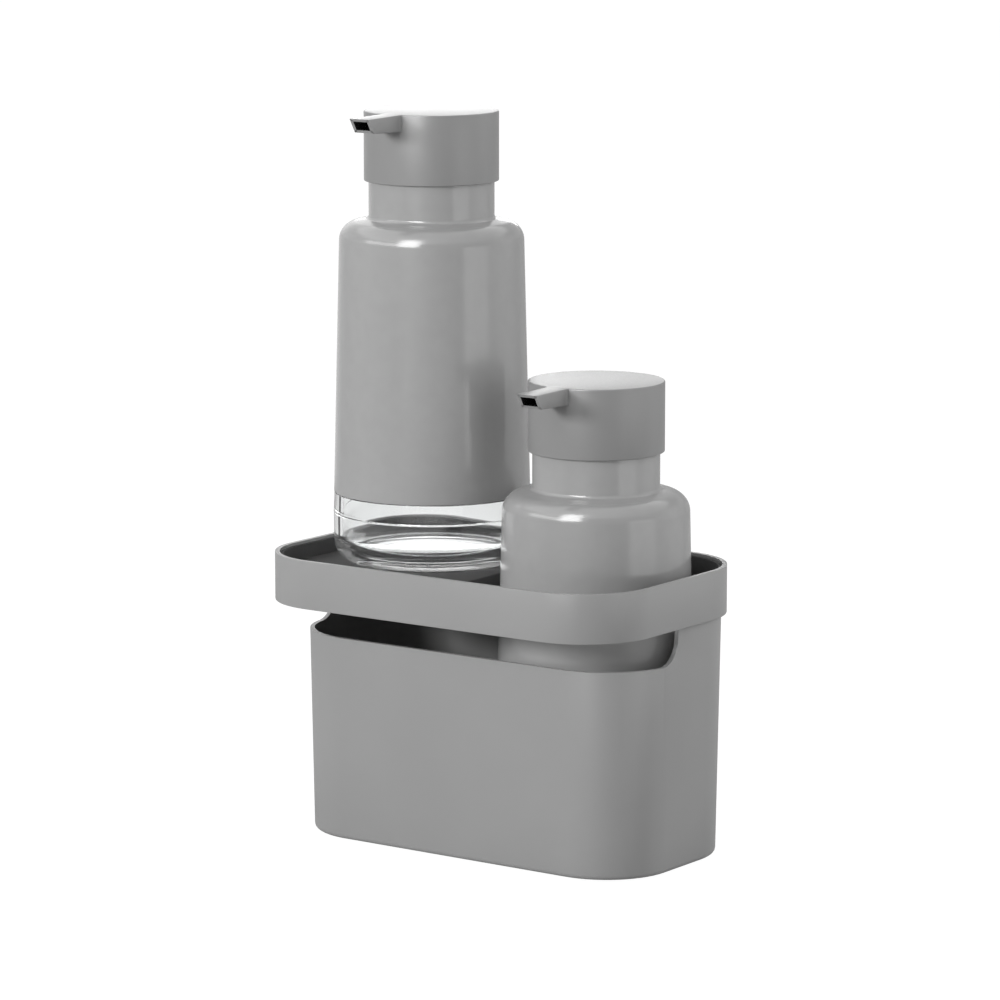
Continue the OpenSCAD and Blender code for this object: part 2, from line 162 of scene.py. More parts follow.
def mottled(tree, pattern, hex_colour, low, high):
    """A colour that a noise pattern makes darker or lighter, between two factors."""
    base = linear(hex_colour)
    tone = add_node(tree, "ValToRGB", Fac=pattern)
    set_ramp(tone, [(position, (*(c * factor for c in base[:3]), 1.0))
                    for position, factor in ((NOISE_LOW, low), (NOISE_HIGH, high))])
    return tone


def principled(tree, **inputs):
    """Makes the principled shader a material's surface."""
    add_node(tree, "OutputMaterial", Surface=add_node(tree, "BsdfPrincipled", **inputs))


# Shaping


def bevel(bm, geom, radius, steps, affect="VERTICES"):
    """Rounds corners of a flat outline, or edges of a solid."""
    bmesh.ops.bevel(bm, geom=geom, offset=radius, offset_type="OFFSET", segments=steps, profile=0.5, affect=affect,
                    clamp_overlap=affect == "EDGES", material=-1)


def rounded_loop(bm, corners, radius, steps):
    """A closed loop of edges through four or more corners in a plane, each rounded."""
    verts = [bm.verts.new(place) for place in corners]
    face = bm.faces.new(verts)
    older = set(bm.edges) - set(face.edges)
    bevel(bm, verts, radius, steps)
    loop = [e for e in bm.edges if e not in older]
    bmesh.ops.delete(bm, geom=loop[0].link_faces[:], context="FACES_ONLY")
    return loop


def level_loop(bm, size, radius, z, steps, middle=0.0):
    """A level rectangle with round corners, centred on X = 0 and Y = middle."""
    return rounded_loop(bm, [(sx * size[0] / 2, middle + sy * size[1] / 2, z)
                             for sx, sy in ((1, 1), (-1, 1), (-1, -1), (1, -1))], radius, steps)


def quarter(steps):
    """Even steps of a rounding with radius 1, each as its inset from the side and its rise from the end."""
    angles = [math.radians(90 * k / steps) for k in range(steps + 1)]
    return [(1 - math.sin(a), 1 - math.cos(a)) for a in angles]


def bridge(bm, loops):
    """Joins each loop to the next with a band of faces."""
    for low, high in zip(loops, loops[1:]):
        bmesh.ops.bridge_loops(bm, edges=low + high)


def fill(bm, *loops):
    """Closes loops of edges with one face each."""
    for loop in loops:
        bmesh.ops.holes_fill(bm, edges=loop, sides=0)


def face_outwards(bm):
    """Points every face of a solid outwards."""
    bmesh.ops.recalc_face_normals(bm, faces=bm.faces[:])


def cut_away(bm, point, normal):
    """Cuts the mesh by a plane and drops what lies on the normal's side."""
    bmesh.ops.bisect_plane(bm, geom=bm.verts[:] + bm.edges[:] + bm.faces[:], dist=FINE, plane_co=point,
                           plane_no=normal, clear_outer=True)


def sharp_edges(bm, degrees):
    """The edges where two faces turn by more than an angle."""
    return [e for e in bm.edges if len(e.link_faces) == 2 and e.calc_face_angle(0.0) > math.radians(degrees)]


def sweep(bm, angle, steps, rise=0.0, close=False):
    """Spins all edges round the Z axis, and up by a rise at each step, and may close the seam of a full turn."""
    bmesh.ops.spin(bm, geom=bm.verts[:] + bm.edges[:], cent=(0, 0, 0), axis=(0, 0, 1), dvec=(0, 0, rise),
                   angle=angle, steps=steps, use_merge=close, use_duplicate=False)


def rounded_line(bm, corners, closed, steps):
    """A line in the XZ plane through corners given as x, z and rounding, with each corner rounded to its radius."""
    places = [Vector((x, 0.0, z)) for x, z, _ in corners]
    verts = [bm.verts.new(p) for p in places]
    last = len(verts) - 1
    for a, b in zip(verts, verts[1:] + verts[:1] if closed else verts[1:]):
        bm.edges.new((a, b))
    for i, (_, _, radius) in enumerate(corners):
        if radius <= 0 or (not closed and i in (0, last)):
            continue
        back = (places[i - 1] - places[i]).normalized()
        ahead = (places[(i + 1) % len(places)] - places[i]).normalized()
        bevel(bm, [verts[i]], radius / math.tan(back.angle(ahead) / 2), steps)


def turned(corners, closed=False, steps=48, round_steps=3):
    """A solid turned round the Z axis from a rounded profile, with its seam and poles closed."""
    bm = bmesh.new()
    rounded_line(bm, corners, closed, round_steps)
    sweep(bm, 2 * math.pi, steps, close=True)
    bmesh.ops.remove_doubles(bm, verts=bm.verts[:], dist=WELD)
    bmesh.ops.dissolve_degenerate(bm, dist=WELD, edges=bm.edges[:])
    face_outwards(bm)
    return bm


def add_solid(bm, solid, move=(0, 0, 0)):
    """Moves a solid's mesh into another one."""
    bmesh.ops.translate(solid, verts=solid.verts[:], vec=move)
    mesh = bpy.data.meshes.new("solid")
    solid.to_mesh(mesh)
    solid.free()
    bm.from_mesh(mesh)
    bpy.data.meshes.remove(mesh)


def keep_sharp(bm, degrees=32):
    """Shades every face smooth and marks the edges that turn by more than an angle."""
    for face in bm.faces:
        face.smooth = True
    for edge in sharp_edges(bm, degrees):
        edge.smooth = False


def new_object(name, data):
    """An object at the origin."""
    thing = bpy.data.objects.new(name, data)
    bpy.context.scene.collection.objects.link(thing)
    return thing


def mesh_object(bm, name, material):
    """An object at the origin with a bmesh as its mesh."""
    mesh = bpy.data.meshes.new(name)
    bm.to_mesh(mesh)
    bm.free()
    mesh.materials.append(material)
    return new_object(name, mesh)


def finished(bm, name, body, material, replaces=(), move=(0, 0, 0)):
    """Turns a bmesh into a piece that rides on a CAD body."""
    bmesh.ops.translate(bm, verts=bm.verts[:], vec=move)
    piece = mesh_object(bm, name, material)
    if replaces:
        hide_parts(*replaces)
    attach(piece, body)
    return piece


def foot_of(side):
    """Place of a dispenser's axis and foot."""
    low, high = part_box(f"{side}_bottle")
    return Vector(((low.x + high.x) / 2, (low.y + high.y) / 2, low.z))


def on_both_sides(bm, name, node, body, material):
    """Puts the same mesh, made round the Z axis and up from the foot, on both dispensers."""
    pieces = [finished(bm.copy(), f"{side}_{name}", f"{side}_{body}", material, [f"{side}_{node}"],
                       foot_of(side)) for side in SIDES]
    bm.free()
    return pieces


# Finishes


def moulded_plastic(name, colour, roughness, texture_mm=0.45, depth_mm=0.012, ior=1.5):
    """A moulded, lightly spark-eroded plastic: even colour with a slow drift in tone, and a fine grain in its sheen."""
    drift_mm, mottle, spread = 38, 0.03, 0.04
    material, tree = new_material(name)
    drift = noise(tree, drift_mm, 2.0, Roughness=0.4)
    grain = noise(tree, texture_mm)
    sheen = add_node(tree, "MapRange", Value=grain, From_Min=NOISE_LOW, From_Max=NOISE_HIGH,
                     To_Min=roughness - spread, To_Max=roughness + spread)
    bump = add_node(tree, "Bump", Height=grain, Strength=0.5, Distance=depth_mm * MM)
    principled(tree, Base_Color=mottled(tree, drift, colour, 1 - mottle, 1 + mottle), Roughness=sheen, IOR=ior,
               Normal=bump)
    return material


def silicone_rubber(name, colour, roughness):
    """Liquid silicone rubber from a polished mould: dense and even, with a wet sheen and the faintest orange peel."""
    peel_mm, dust_mm, mottle = 5, 0.6, 0.015
    material, tree = new_material(name)
    peel = noise(tree, peel_mm)
    sheen = add_node(tree, "MapRange", Value=noise(tree, dust_mm, 2.0), From_Min=NOISE_LOW, From_Max=NOISE_HIGH,
                     To_Min=roughness - 0.02, To_Max=roughness + 0.03)
    bump = add_node(tree, "Bump", Height=peel, Strength=0.15, Distance=0.02 * MM)
    principled(tree, Base_Color=mottled(tree, peel, colour, 1 - mottle, 1 + mottle), Roughness=sheen, IOR=1.45,
               Normal=bump)
    return material


def pressed_glass(name, colour):
    """Clear soda-lime glass from a mould: slow waves in its skin bend what is seen through it, and lamps shine on
    through it, so that what stands behind or under it is lit. Of a ray that is caught between the faces of the
    thick foot, three quarters go straight on from the third mirroring and the rest from the fourth, where the
    renderer would otherwise end it in black."""
    wave_mm, passed = 14, 0.9
    material, tree = new_material(name)
    wave = noise(tree, wave_mm)
    smear = add_node(tree, "MapRange", Value=wave, To_Min=0.0, To_Max=0.012)
    bump = add_node(tree, "Bump", Height=wave, Strength=0.25, Distance=0.05 * MM)
    shader = add_node(tree, "BsdfPrincipled", Base_Color=linear(colour), Roughness=smear, IOR=1.5,
                      Transmission_Weight=1.0, Normal=bump)
    clear = add_node(tree, "BsdfTransparent", Color=(passed, passed, passed, 1.0))
    path = add_node(tree, "LightPath")
    caught = add_node(tree, "MapRange", Value=path.outputs["Glossy Depth"], From_Min=2.0, From_Max=3.33)
    straight = add_node(tree, "Math", {"operation": "MAXIMUM"}, i0=path.outputs["Is Shadow Ray"], i1=caught)
    add_node(tree, "OutputMaterial", Surface=add_node(tree, "MixShader", i0=straight, i1=shader, i2=clear))
    return material


def milky_polymer(name, colour, roughness):
    """Natural polypropylene or polyethylene: waxy, slightly see-through, with a soft sheen."""
    cloud_mm, spread = 6, 0.05
    material, tree = new_material(name)
    cloud = noise(tree, cloud_mm, 2.0)
    sheen = add_node(tree, "MapRange", Value=cloud, To_Min=roughness - spread, To_Max=roughness + spread)
    principled(tree, Base_Color=mottled(tree, cloud, colour, 0.95, 1.0), Roughness=sheen, IOR=1.49,
               Subsurface_Weight=0.15, Subsurface_Scale=1 * MM)
    return material


def drawn_steel(name, colour):
    """Stainless steel: bright, with faint drawing or grinding lines that break up its reflections."""
    line_mm = 0.25
    material, tree = new_material(name)
    sheen = add_node(tree, "MapRange", Value=noise(tree, line_mm, 2.0), To_Min=0.16, To_Max=0.34)
    principled(tree, Base_Color=linear(colour), Metallic=1.0, Roughness=sheen)
    return material


# What a user would change


class BinSizes(bpy.types.PropertyGroup):
    """Sizes of the bin, its rail, its floor and the bosses under it"""
    wall: length("Wall", "Wall of the bin and of its rail", 1.5 * MM)
    corner: length("Foot corner", "Corner radius of the bin at its lower edge", 23.9 * MM)
    foot_length: length("Foot length", "Length of the bin at its lower edge", 138.4 * MM)
    foot_width: length("Foot width", "Width of the bin at its lower edge", 70 * MM)
    flare: length("Flare", "How far the wall leans out by the rail", 1.416 * MM)
    curl: length("Lower rounding", "Rounding of the bin's lower edge", 1.6 * MM)
    back_step: length("Back step", "Step from the bin to the rail at the back", 0.3 * MM)
    rail_corner: length("Rail corner", "Corner radius of the rail", 25.4 * MM)
    rail_height: length("Rail height", "Height of the rail", 16.2 * MM)
    rail_turn: length("Rail lower rounding", "Rounding of the rail's lower edge", 0.25 * MM)
    slot_height: length("Slot height", "Height of the opening under the rail", 12.1 * MM)
    slot_corner: length("Slot corner", "Radius of the opening's lower corners", 8.5 * MM)
    slot_end: length("Slot end", "Distance of the opening's ends in front of the bin's middle", 6.8 * MM)
    rim: length("Rim rounding", "Rounding along the free edges", 0.55 * MM)
    floor: length("Floor", "Height of the floor above the lower edge", 6.6 * MM)
    floor_plate: length("Floor plate", "Thickness of the floor", 2 * MM)
    cove: length("Cove", "Hollow rounding between floor and wall", 2 * MM)
    boss: length("Boss", "Radius of the boss round a foot pad", 6.5 * MM)
    pocket: length("Pocket", "Depth of the pocket for a foot pad", 1 * MM)
    corner_steps: IntProperty(name="Corner steps", description="Faces round each corner of bin and tray", default=14,
                              min=4)


class TraySizes(bpy.types.PropertyGroup):
    """Sizes of the tray"""
    wall: length("Wall", "Wall of the tray's band", 1.2 * MM)
    band_rise: length("Band rise", "Height of the band's lower edge above the rail's", 1.9 * MM)
    deck: length("Shelf", "Thickness of the shelf and its lips", 1.5 * MM)
    deck_drop: length("Shelf drop", "Depth of the shelf below the band's rim", 5 * MM)
    corner: length("Corner", "Outer corner radius of the band", 23.7 * MM)
    deck_right: length("Shelf end", "Distance of the shelf's free edge left of the middle", 0.5 * MM)
    lip: length("Lip", "Depth of the lips below the shelf's face", 6.3 * MM)
    deck_corner: length("Shelf corner", "Rounding of the shelf's free corner in plan", 2 * MM)
    deck_turn: length("Shelf edge", "Rounding where the shelf turns down into its lips", 0.9 * MM)
    rim: length("Rim rounding", "Rounding along the free edges", 0.35 * MM)


class DispenserSizes(bpy.types.PropertyGroup):
    """Sizes of the glass bottles and of the sleeves over them"""
    bottle_r: length("Bottle radius", "Largest radius of the bottle", (BOTTLE_HIGH.x - BOTTLE_LOW.x) / 2)
    window: length("Window", "Height of the clear window", 23.6 * MM)
    window_r: length("Window radius", "Radius of the glass at the sleeve's edge", 33 * MM)
    heel: length("Heel", "Radius of the heel's curve", 7.6 * MM)
    punt: length("Punt", "Rise of the hollow under the bottle", 1 * MM)
    foot_ring: length("Foot ring", "Width of the ring that the bottle stands on", 4 * MM)
    glass_floor: length("Glass floor", "Thickness of the glass floor", 4.2 * MM)
    floor_curve: length("Floor curve", "Radius of the curve from the glass floor to the wall", 5.5 * MM)
    window_wall: length("Window wall", "Glass wall in the window", 2.6 * MM)
    sleeved_wall: length("Sleeved wall", "Glass wall behind the sleeve", 1.9 * MM)
    seam: length("Mould seam", "Height of the mould's parting ring on the glass", 16.9 * MM)
    seam_rise: length("Seam rise", "How far the parting ring stands proud", 0.12 * MM)
    taper: slope("Taper", "Draft of the body", 1.4)
    shoulder: length("Shoulder", "Height of the shoulder at the neck", 115.3 * MM)
    shoulder_r: length("Shoulder corner", "Radius of the shoulder's corner", 6.5 * MM)
    shoulder_slope: slope("Shoulder slope", "Fall of the shoulder from the neck", 11)
    neck_r: length("Neck", "Radius of the neck over the sleeve", 21 * MM)
    neck_fillet: length("Neck fillet", "Hollow curve between neck and shoulder", 1.3 * MM)
    sleeve_wall: length("Sleeve wall", "Wall of the grip sleeve", 1 * MM)
    sleeve_gap: length("Sleeve gap", "Gap between sleeve and glass", 0.1 * MM)
    steps: IntProperty(name="Steps", description="Faces round the axis of bottle, sleeve and head", default=128,
                       min=24)


class HeadSizes(bpy.types.PropertyGroup):
    """Sizes of the pump heads and their spouts"""
    radius: length("Radius", "Radius of the head", (HEAD_HIGH.x - HEAD_LOW.x) / 2)
    wall: length("Skirt wall", "Wall of the head's skirt", 1.1 * MM)
    roof: length("Roof", "Thickness of the roof", 1.6 * MM)
    edge: length("Edge", "Rounding of the upper edge", 0.45 * MM)
    rim: length("Rim rounding", "Rounding of the skirt's and the socket's rims", 0.3 * MM)
    socket_r: length("Socket", "Radius of the socket for the stem", 5.4 * MM)
    socket_depth: length("Socket depth", "Depth of the socket below the roof", 7.5 * MM)
    bore: length("Bore", "Bore of the socket", 3.55 * MM)
    reach: length("Spout reach", "Reach of the spout from the axis", 39.6 * MM)
    width: length("Spout width", "Width of the spout", 7.8 * MM)
    root: length("Spout root", "Height of the spout at the head", 5.5 * MM)
    tip: length("Spout tip", "Height of the spout at its tip", 4.7 * MM)
    fall: length("Spout fall", "Fall of the spout's top", 0.3 * MM)
    rake: length("Tip rake", "Set-back of the tip's lower edge", 2.9 * MM)
    cheek: length("Spout wall", "Wall round the spout's mouth", 1.05 * MM)
    spout_edge: length("Spout edge", "Rounding along the spout", 0.3 * MM)
    spout_rise: length("Spout rise", "How far the spout's top stands above the roof, so that the two never flicker",
                       0.02 * MM)


class Finishes(bpy.types.PropertyGroup):
    """Colours of the materials"""
    bin: shade("Bin", "the bin", "#969696")
    tray: shade("Tray", "the tray", "#505050")
    sleeve: shade("Sleeve", "the sleeves", "#a2a2a2")
    head: shade("Head", "the heads", "#8b8b8b")
    # Painted shade: the duct's near-black colour stands in for the shade inside the spouts, not for the plastic's own
    # colour
    shaded_duct: shade("Duct", "the inside of the spouts", "#262626")
    glass: shade("Glass", "the glass", "#f4f5f5")
    pump: shade("Pump", "the pump's white parts", "#e8e8e6")
    tube: shade("Tube", "the dip tubes", "#eef0ee")
    rubber: shade("Rubber", "seals and foot pads", "#4a4a4a")
    steel: shade("Steel", "springs and balls", "#c4c6c8")


class Studio(bpy.types.PropertyGroup):
    """Levels of the lamps, and of the set that glossy surfaces and glass mirror"""
    ambient: level("Ambient", "Level of the even light from all sides", 0.45)
    key: level("Key", "Power of the lamp in front on the left", 12.4, "POWER")
    side: level("Side", "Power of the large lamp on the right", 8.6, "POWER")
    top: level("Top", "Power of the lamp overhead", 0.3, "POWER")
    tent: level("Tent", "Brightness of the tent that glossy surfaces mirror", 1.0)
    backdrop: level("Backdrop", "Brightness of the backdrop that the tall head's top mirrors", 3.3)
    backdrop_low: level("Low backdrop", "Brightness of the backdrop's lower strip", 4.6)
    through: level("Backdrop through glass", "Brightness of the backdrop as the glass floors mirror it", 4.5)
    highlight: level("Highlight", "Brightness of the small softbox", 18.0)


class Organizer(bpy.types.PropertyGroup):
    """All that a user would change"""
    bin: PointerProperty(type=BinSizes)
    tray: PointerProperty(type=TraySizes)
    dispenser: PointerProperty(type=DispenserSizes)
    head: PointerProperty(type=HeadSizes)
    finish: PointerProperty(type=Finishes)
    studio: PointerProperty(type=Studio)


# Pieces


def pad_places():
    """X and Y of each foot pad's middle."""
    return [(x, y) for x in (PAD_LOW.x + PAD_RADIUS, PAD_HIGH.x - PAD_RADIUS)
            for y in (PAD_LOW.y + PAD_RADIUS, PAD_HIGH.y - PAD_RADIUS)]


def bin_middle(s):
    """Y of the bin's middle, which is behind the rail's because the rail overhangs at the front."""
    return BIN_HIGH.y - s.back_step - s.flare - s.foot_width / 2


def bin_lean(s):
    """How far the bin's wall leans out for each metre of its height."""
    return s.flare / (BIN_HIGH.z - s.rail_height - BIN_LOW.z)


def bin_loop(bm, s, grow, z, steps):
    """The bin's outline at its lower edge, grown by a distance."""
    return level_loop(bm, (s.foot_length + 2 * grow, s.foot_width + 2 * grow), s.corner + grow, z, steps,
                      bin_middle(s))


def sleeve_corners(s, depth):
    """The shoulder's two corners at a depth under the sleeve's face, from the body up to the neck."""
    lean = math.tan(s.taper)
    fall = math.tan(s.shoulder_slope)
    neck = s.neck_r - depth
    z_neck = s.shoulder + fall * (s.neck_fillet + depth) - depth / math.cos(s.shoulder_slope)
    # Where the body's line, which leans in as it rises, meets the shoulder's, which falls from the neck
    body = s.window_r - depth / math.cos(s.taper)
    x = (body - lean * (z_neck + fall * neck - s.window)) / (1 - lean * fall)
    return [(x, z_neck - fall * (x - neck), s.shoulder_r - depth), (neck, z_neck, s.neck_fillet + depth)]


class Step:
    """A step of the build as an operator. Its class says in build what the step makes."""

    def execute(self, context):
        self.build(context.scene.organizer)
        return {"FINISHED"}


class ORGANIZER_OT_bin(Step, bpy.types.Operator):
    """Moulds the bin with its rail, its floor and the bosses of the foot pads"""
    bl_idname = "organizer.bin"
    bl_label = "Bin and Rail"

    def build(self, organizer):
        s = organizer.bin
        # Polypropylene from a satin mould: broad soft sheen, no visible grain from a metre away
        plastic = moulded_plastic("satin_polypropylene", organizer.finish.bin, 0.42)
        self.shell(s, plastic)
        self.base(s, plastic)

    def shell(self, s, plastic):
        """Wall, ledge and rail as one sheet, opened under the rail and then given its wall."""
        bm = bmesh.new()
        z_rail = BIN_HIGH.z - s.rail_height
        slot_back = bin_middle(s) - s.slot_end

        def rail_loop(inset, z):
            return level_loop(bm, (BIN_HIGH.x - BIN_LOW.x - 2 * inset, BIN_HIGH.y - BIN_LOW.y - 2 * inset),
                              s.rail_corner - inset, z, s.corner_steps)

        loops = [bin_loop(bm, s, (bin_lean(s) - inset) * s.curl, BIN_LOW.z + s.curl * rise, s.corner_steps)
                 for inset, rise in quarter(4)]
        loops.append(bin_loop(bm, s, s.flare, z_rail, s.corner_steps))
        loops += [rail_loop(s.rail_turn * inset, z_rail + s.rail_turn * rise) for inset, rise in quarter(3)]
        loops.append(rail_loop(0.0, BIN_HIGH.z))
        bridge(bm, loops)
        self.cut_slot(bm, z_rail, slot_back, s)
        face_outwards(bm)
        bmesh.ops.solidify(bm, geom=bm.faces[:], thickness=s.wall)
        free = [e for e in sharp_edges(bm, 50) if e.is_convex and not self.on_ledge(e, z_rail, slot_back, s)]
        bevel(bm, free, s.rim, steps=3, affect="EDGES")
        keep_sharp(bm)
        finished(bm, "bin_shell", "caddy", plastic, ["outer_bin"])

    def on_ledge(self, edge, z_rail, slot_back, s):
        """True for the long edges where wall, ledge and rail meet, which stay as they are."""
        a, b = (v.co for v in edge.verts)
        is_level = abs(a.z - b.z) < FINE and z_rail - NEAR < a.z < z_rail + s.wall + 0.1 * MM
        return is_level and min(a.y, b.y) > slot_back - NEAR

    def cut_slot(self, bm, z_rail, slot_back, s):
        """Opens the front of the sheet between the wall and the rail, with round lower corners."""
        z_slot = z_rail - s.slot_height
        centre = Vector((0.0, slot_back - s.slot_corner, z_slot + s.slot_corner))
        cuts = 10

        def part(faces, point, normal):
            """Cuts faces by a plane and returns those on the side away from the normal."""
            geom = [*faces, *{e for f in faces for e in f.edges}, *{v for f in faces for v in f.verts}]
            cut = bmesh.ops.bisect_plane(bm, geom=geom, dist=FINE, plane_co=point, plane_no=normal)["geom"]
            return [f for f in cut if isinstance(f, bmesh.types.BMFace)
                    and (f.calc_center_median() - Vector(point)).dot(Vector(normal)) < 0]

        upper = [f for f in bm.faces if abs(max(v.co.z for v in f.verts) - z_rail) < FINE]
        region = part(part(upper, (0, 0, z_slot), (0, 0, -1)), (0, slot_back, 0), (0, 1, 0))
        ledge = [f for f in region if min(v.co.z for v in f.verts) > z_rail - FINE]
        region = [f for f in region if f not in ledge]
        for k in range(1, cuts):
            angle = math.radians(90 * k / cuts)
            normal = Vector((0.0, math.cos(angle), -math.sin(angle)))
            region = part(region, centre + s.slot_corner * normal, normal)
        bmesh.ops.delete(bm, geom=region + ledge, context="FACES")

    def base(self, s, plastic):
        """The floor plate with its cove, and a boss round each foot pad."""
        play = 0.05 * MM
        bite = 0.5 * MM
        bm = bmesh.new()
        z_floor = BIN_LOW.z + s.floor
        z_under = z_floor - s.floor_plate

        def plate_loop(inset, z):
            return bin_loop(bm, s, bin_lean(s) * (z - BIN_LOW.z) - inset, z, steps=10)

        loops = [plate_loop(s.wall / 2, z_under), plate_loop(s.wall / 2, z_floor + s.cove)]
        loops += [plate_loop(s.wall - play + s.cove * inset, z_floor + s.cove * rise) for rise, inset in quarter(4)]
        bridge(bm, loops)
        fill(bm, loops[0], loops[-1])
        face_outwards(bm)
        z_pocket = BIN_LOW.z + s.pocket
        for x, y in pad_places():
            add_solid(bm, turned([
                (0, z_under + bite, 0), (s.boss, z_under + bite, 0), (s.boss, BIN_LOW.z, 0.4 * MM),
                (PAD_RADIUS + play, BIN_LOW.z, 0.3 * MM), (PAD_RADIUS + play, z_pocket, 0), (0, z_pocket, 0)]),
                (x, y, 0))
        keep_sharp(bm)
        finished(bm, "bin_floor", "caddy", plastic)


class ORGANIZER_OT_pads(Step, bpy.types.Operator):
    """Cuts the foot pads, with a rounded edge and a grip groove"""
    bl_idname = "organizer.pads"
    bl_label = "Foot Pads"

    def build(self, organizer):
        # Die-cut silicone rubber: dead matte and slightly dusty
        rubber = moulded_plastic("matte_pad_rubber", organizer.finish.rubber, 0.75, texture_mm=0.3,
                                 depth_mm=0.03, ior=1.45)
        edge, soft = 0.3 * MM, 0.1 * MM
        groove_r, groove = 3.1 * MM, 0.3 * MM
        bm = bmesh.new()
        for x, y in pad_places():
            add_solid(bm, turned([
                (0, PAD_HIGH.z, 0), (PAD_RADIUS, PAD_HIGH.z, soft), (PAD_RADIUS, PAD_LOW.z, edge),
                (groove_r + groove, PAD_LOW.z, soft), (groove_r, PAD_LOW.z + groove, soft),
                (groove_r - groove, PAD_LOW.z, soft), (0, PAD_LOW.z, 0)]), (x, y, 0))
        keep_sharp(bm)
        finished(bm, "pads", "caddy", rubber, ["foot_pads"])


class ORGANIZER_OT_tray(Step, bpy.types.Operator):
    """Moulds the drop-in tray: a band that lines the rail and a shelf with stiffening lips"""
    bl_idname = "organizer.tray"
    bl_label = "Shelf Tray"

    def build(self, organizer):
        bin_sizes, s = organizer.bin, organizer.tray
        # Dark polypropylene from a matte mould: soaks up light and shows only a dull sheen. Its low refractive index
        # stands in for a face so rough that it doesn't shine even where it is seen at a low angle
        plastic = moulded_plastic("matte_dark_polypropylene", organizer.finish.tray, 0.8, ior=1.15)
        size = (TRAY_HIGH.x - TRAY_LOW.x, TRAY_HIGH.y - TRAY_LOW.y)
        band_low = BIN_HIGH.z - bin_sizes.rail_height + s.band_rise
        bm = bmesh.new()
        bridge(bm, [level_loop(bm, size, s.corner, z, bin_sizes.corner_steps) for z in (band_low, TRAY_HIGH.z)])
        face_outwards(bm)
        bmesh.ops.solidify(bm, geom=bm.faces[:], thickness=s.wall)
        bevel(bm, sharp_edges(bm, 50), s.rim, steps=3, affect="EDGES")
        add_solid(bm, self.deck(s, bin_sizes, size))
        keep_sharp(bm)
        finished(bm, "shelf_tray", "tray", plastic, ["inner_tray"])

    def deck(self, s, bin_sizes, size):
        """The shelf, turned down along its front and its free edge."""
        bm = bmesh.new()
        front = bin_middle(bin_sizes) - bin_sizes.foot_width / 2
        end = -s.deck_right
        top = TRAY_HIGH.z - s.deck_drop
        fill(bm, level_loop(bm, (size[0] - s.wall, size[1] - s.wall), s.corner - s.wall / 2, top,
                            bin_sizes.corner_steps))
        cut_away(bm, (end, 0, 0), (1, 0, 0))
        cut_away(bm, (0, front, 0), (0, -1, 0))
        corner = min(bm.verts, key=lambda v: (v.co - Vector((end, front, top))).length)
        bevel(bm, [corner], s.deck_corner, steps=5)

        def by_free_side(v):
            """True on the front edge and in the strip along the free edge."""
            return v.co.x > end - s.deck_corner - NEAR or v.co.y < front + NEAR

        free = [e for e in bm.edges if all(
            by_free_side(v) and (abs(v.co.x - end) < NEAR or v.co.y < front + s.deck_corner + NEAR) for v in e.verts)]
        lips = bmesh.ops.extrude_edge_only(bm, edges=free)["geom"]
        bmesh.ops.translate(bm, verts=[v for v in lips if isinstance(v, bmesh.types.BMVert)], vec=(0, 0, -s.lip))
        face_outwards(bm)
        if sum(f.normal.z * f.calc_area() for f in bm.faces) < 0:
            bmesh.ops.reverse_faces(bm, faces=bm.faces[:])
        bmesh.ops.solidify(bm, geom=bm.faces[:], thickness=s.deck)
        upright = 0.2
        folds = [e for e in sharp_edges(bm, 60) if e.is_convex and min(f.normal.z for f in e.link_faces) < upright
                 and all(abs(v.co.z - top) < NEAR and by_free_side(v) for v in e.verts)]
        bevel(bm, folds, s.deck_turn, steps=4, affect="EDGES")
        return bm


class ORGANIZER_OT_bottles(Step, bpy.types.Operator):
    """Blows the glass bottles, with a thick floor, a punt and the mould's parting ring"""
    bl_idname = "organizer.bottles"
    bl_label = "Bottles"

    def build(self, organizer):
        s = organizer.dispenser
        # Soda-lime glass: clear, with a bright rim wherever the wall is seen edge on
        glass = pressed_glass("clear_soda_lime_glass", organizer.finish.glass)
        ring_r = s.bottle_r - s.heel - s.foot_ring
        seam_half, seam_edge = 0.3 * MM, 0.1 * MM
        skin = s.sleeve_wall + s.sleeve_gap
        rim, rim_edge = BOTTLE_HIGH.z - BOTTLE_LOW.z, 0.7 * MM
        inner = s.window_r - s.window_wall
        bend_above, bend_r = 4 * MM, 20 * MM
        bm = turned([
            (0, s.punt, 0), (ring_r, s.punt, 0.8 * MM), (ring_r, 0, 0.5 * MM), (s.bottle_r, 0, s.heel),
            (s.bottle_r, s.seam - seam_half, seam_edge), (s.bottle_r + s.seam_rise, s.seam, seam_edge),
            (s.bottle_r - 0.02 * MM, s.seam + seam_half, seam_edge),
            (s.window_r, s.window, 0.2 * MM), (s.window_r - skin, s.window, 0.15 * MM), *sleeve_corners(s, skin),
            (s.neck_r - skin, rim, rim_edge), (s.neck_r - skin - s.sleeved_wall, rim, rim_edge),
            *reversed(sleeve_corners(s, skin + s.sleeved_wall)),
            (inner - math.tan(s.taper) * bend_above, s.window + bend_above, bend_r),
            (inner, s.glass_floor, s.floor_curve), (0, s.glass_floor, 0)], steps=s.steps, round_steps=10)
        keep_sharp(bm, 40)
        on_both_sides(bm, "glass", "bottle", "dispenser", glass)


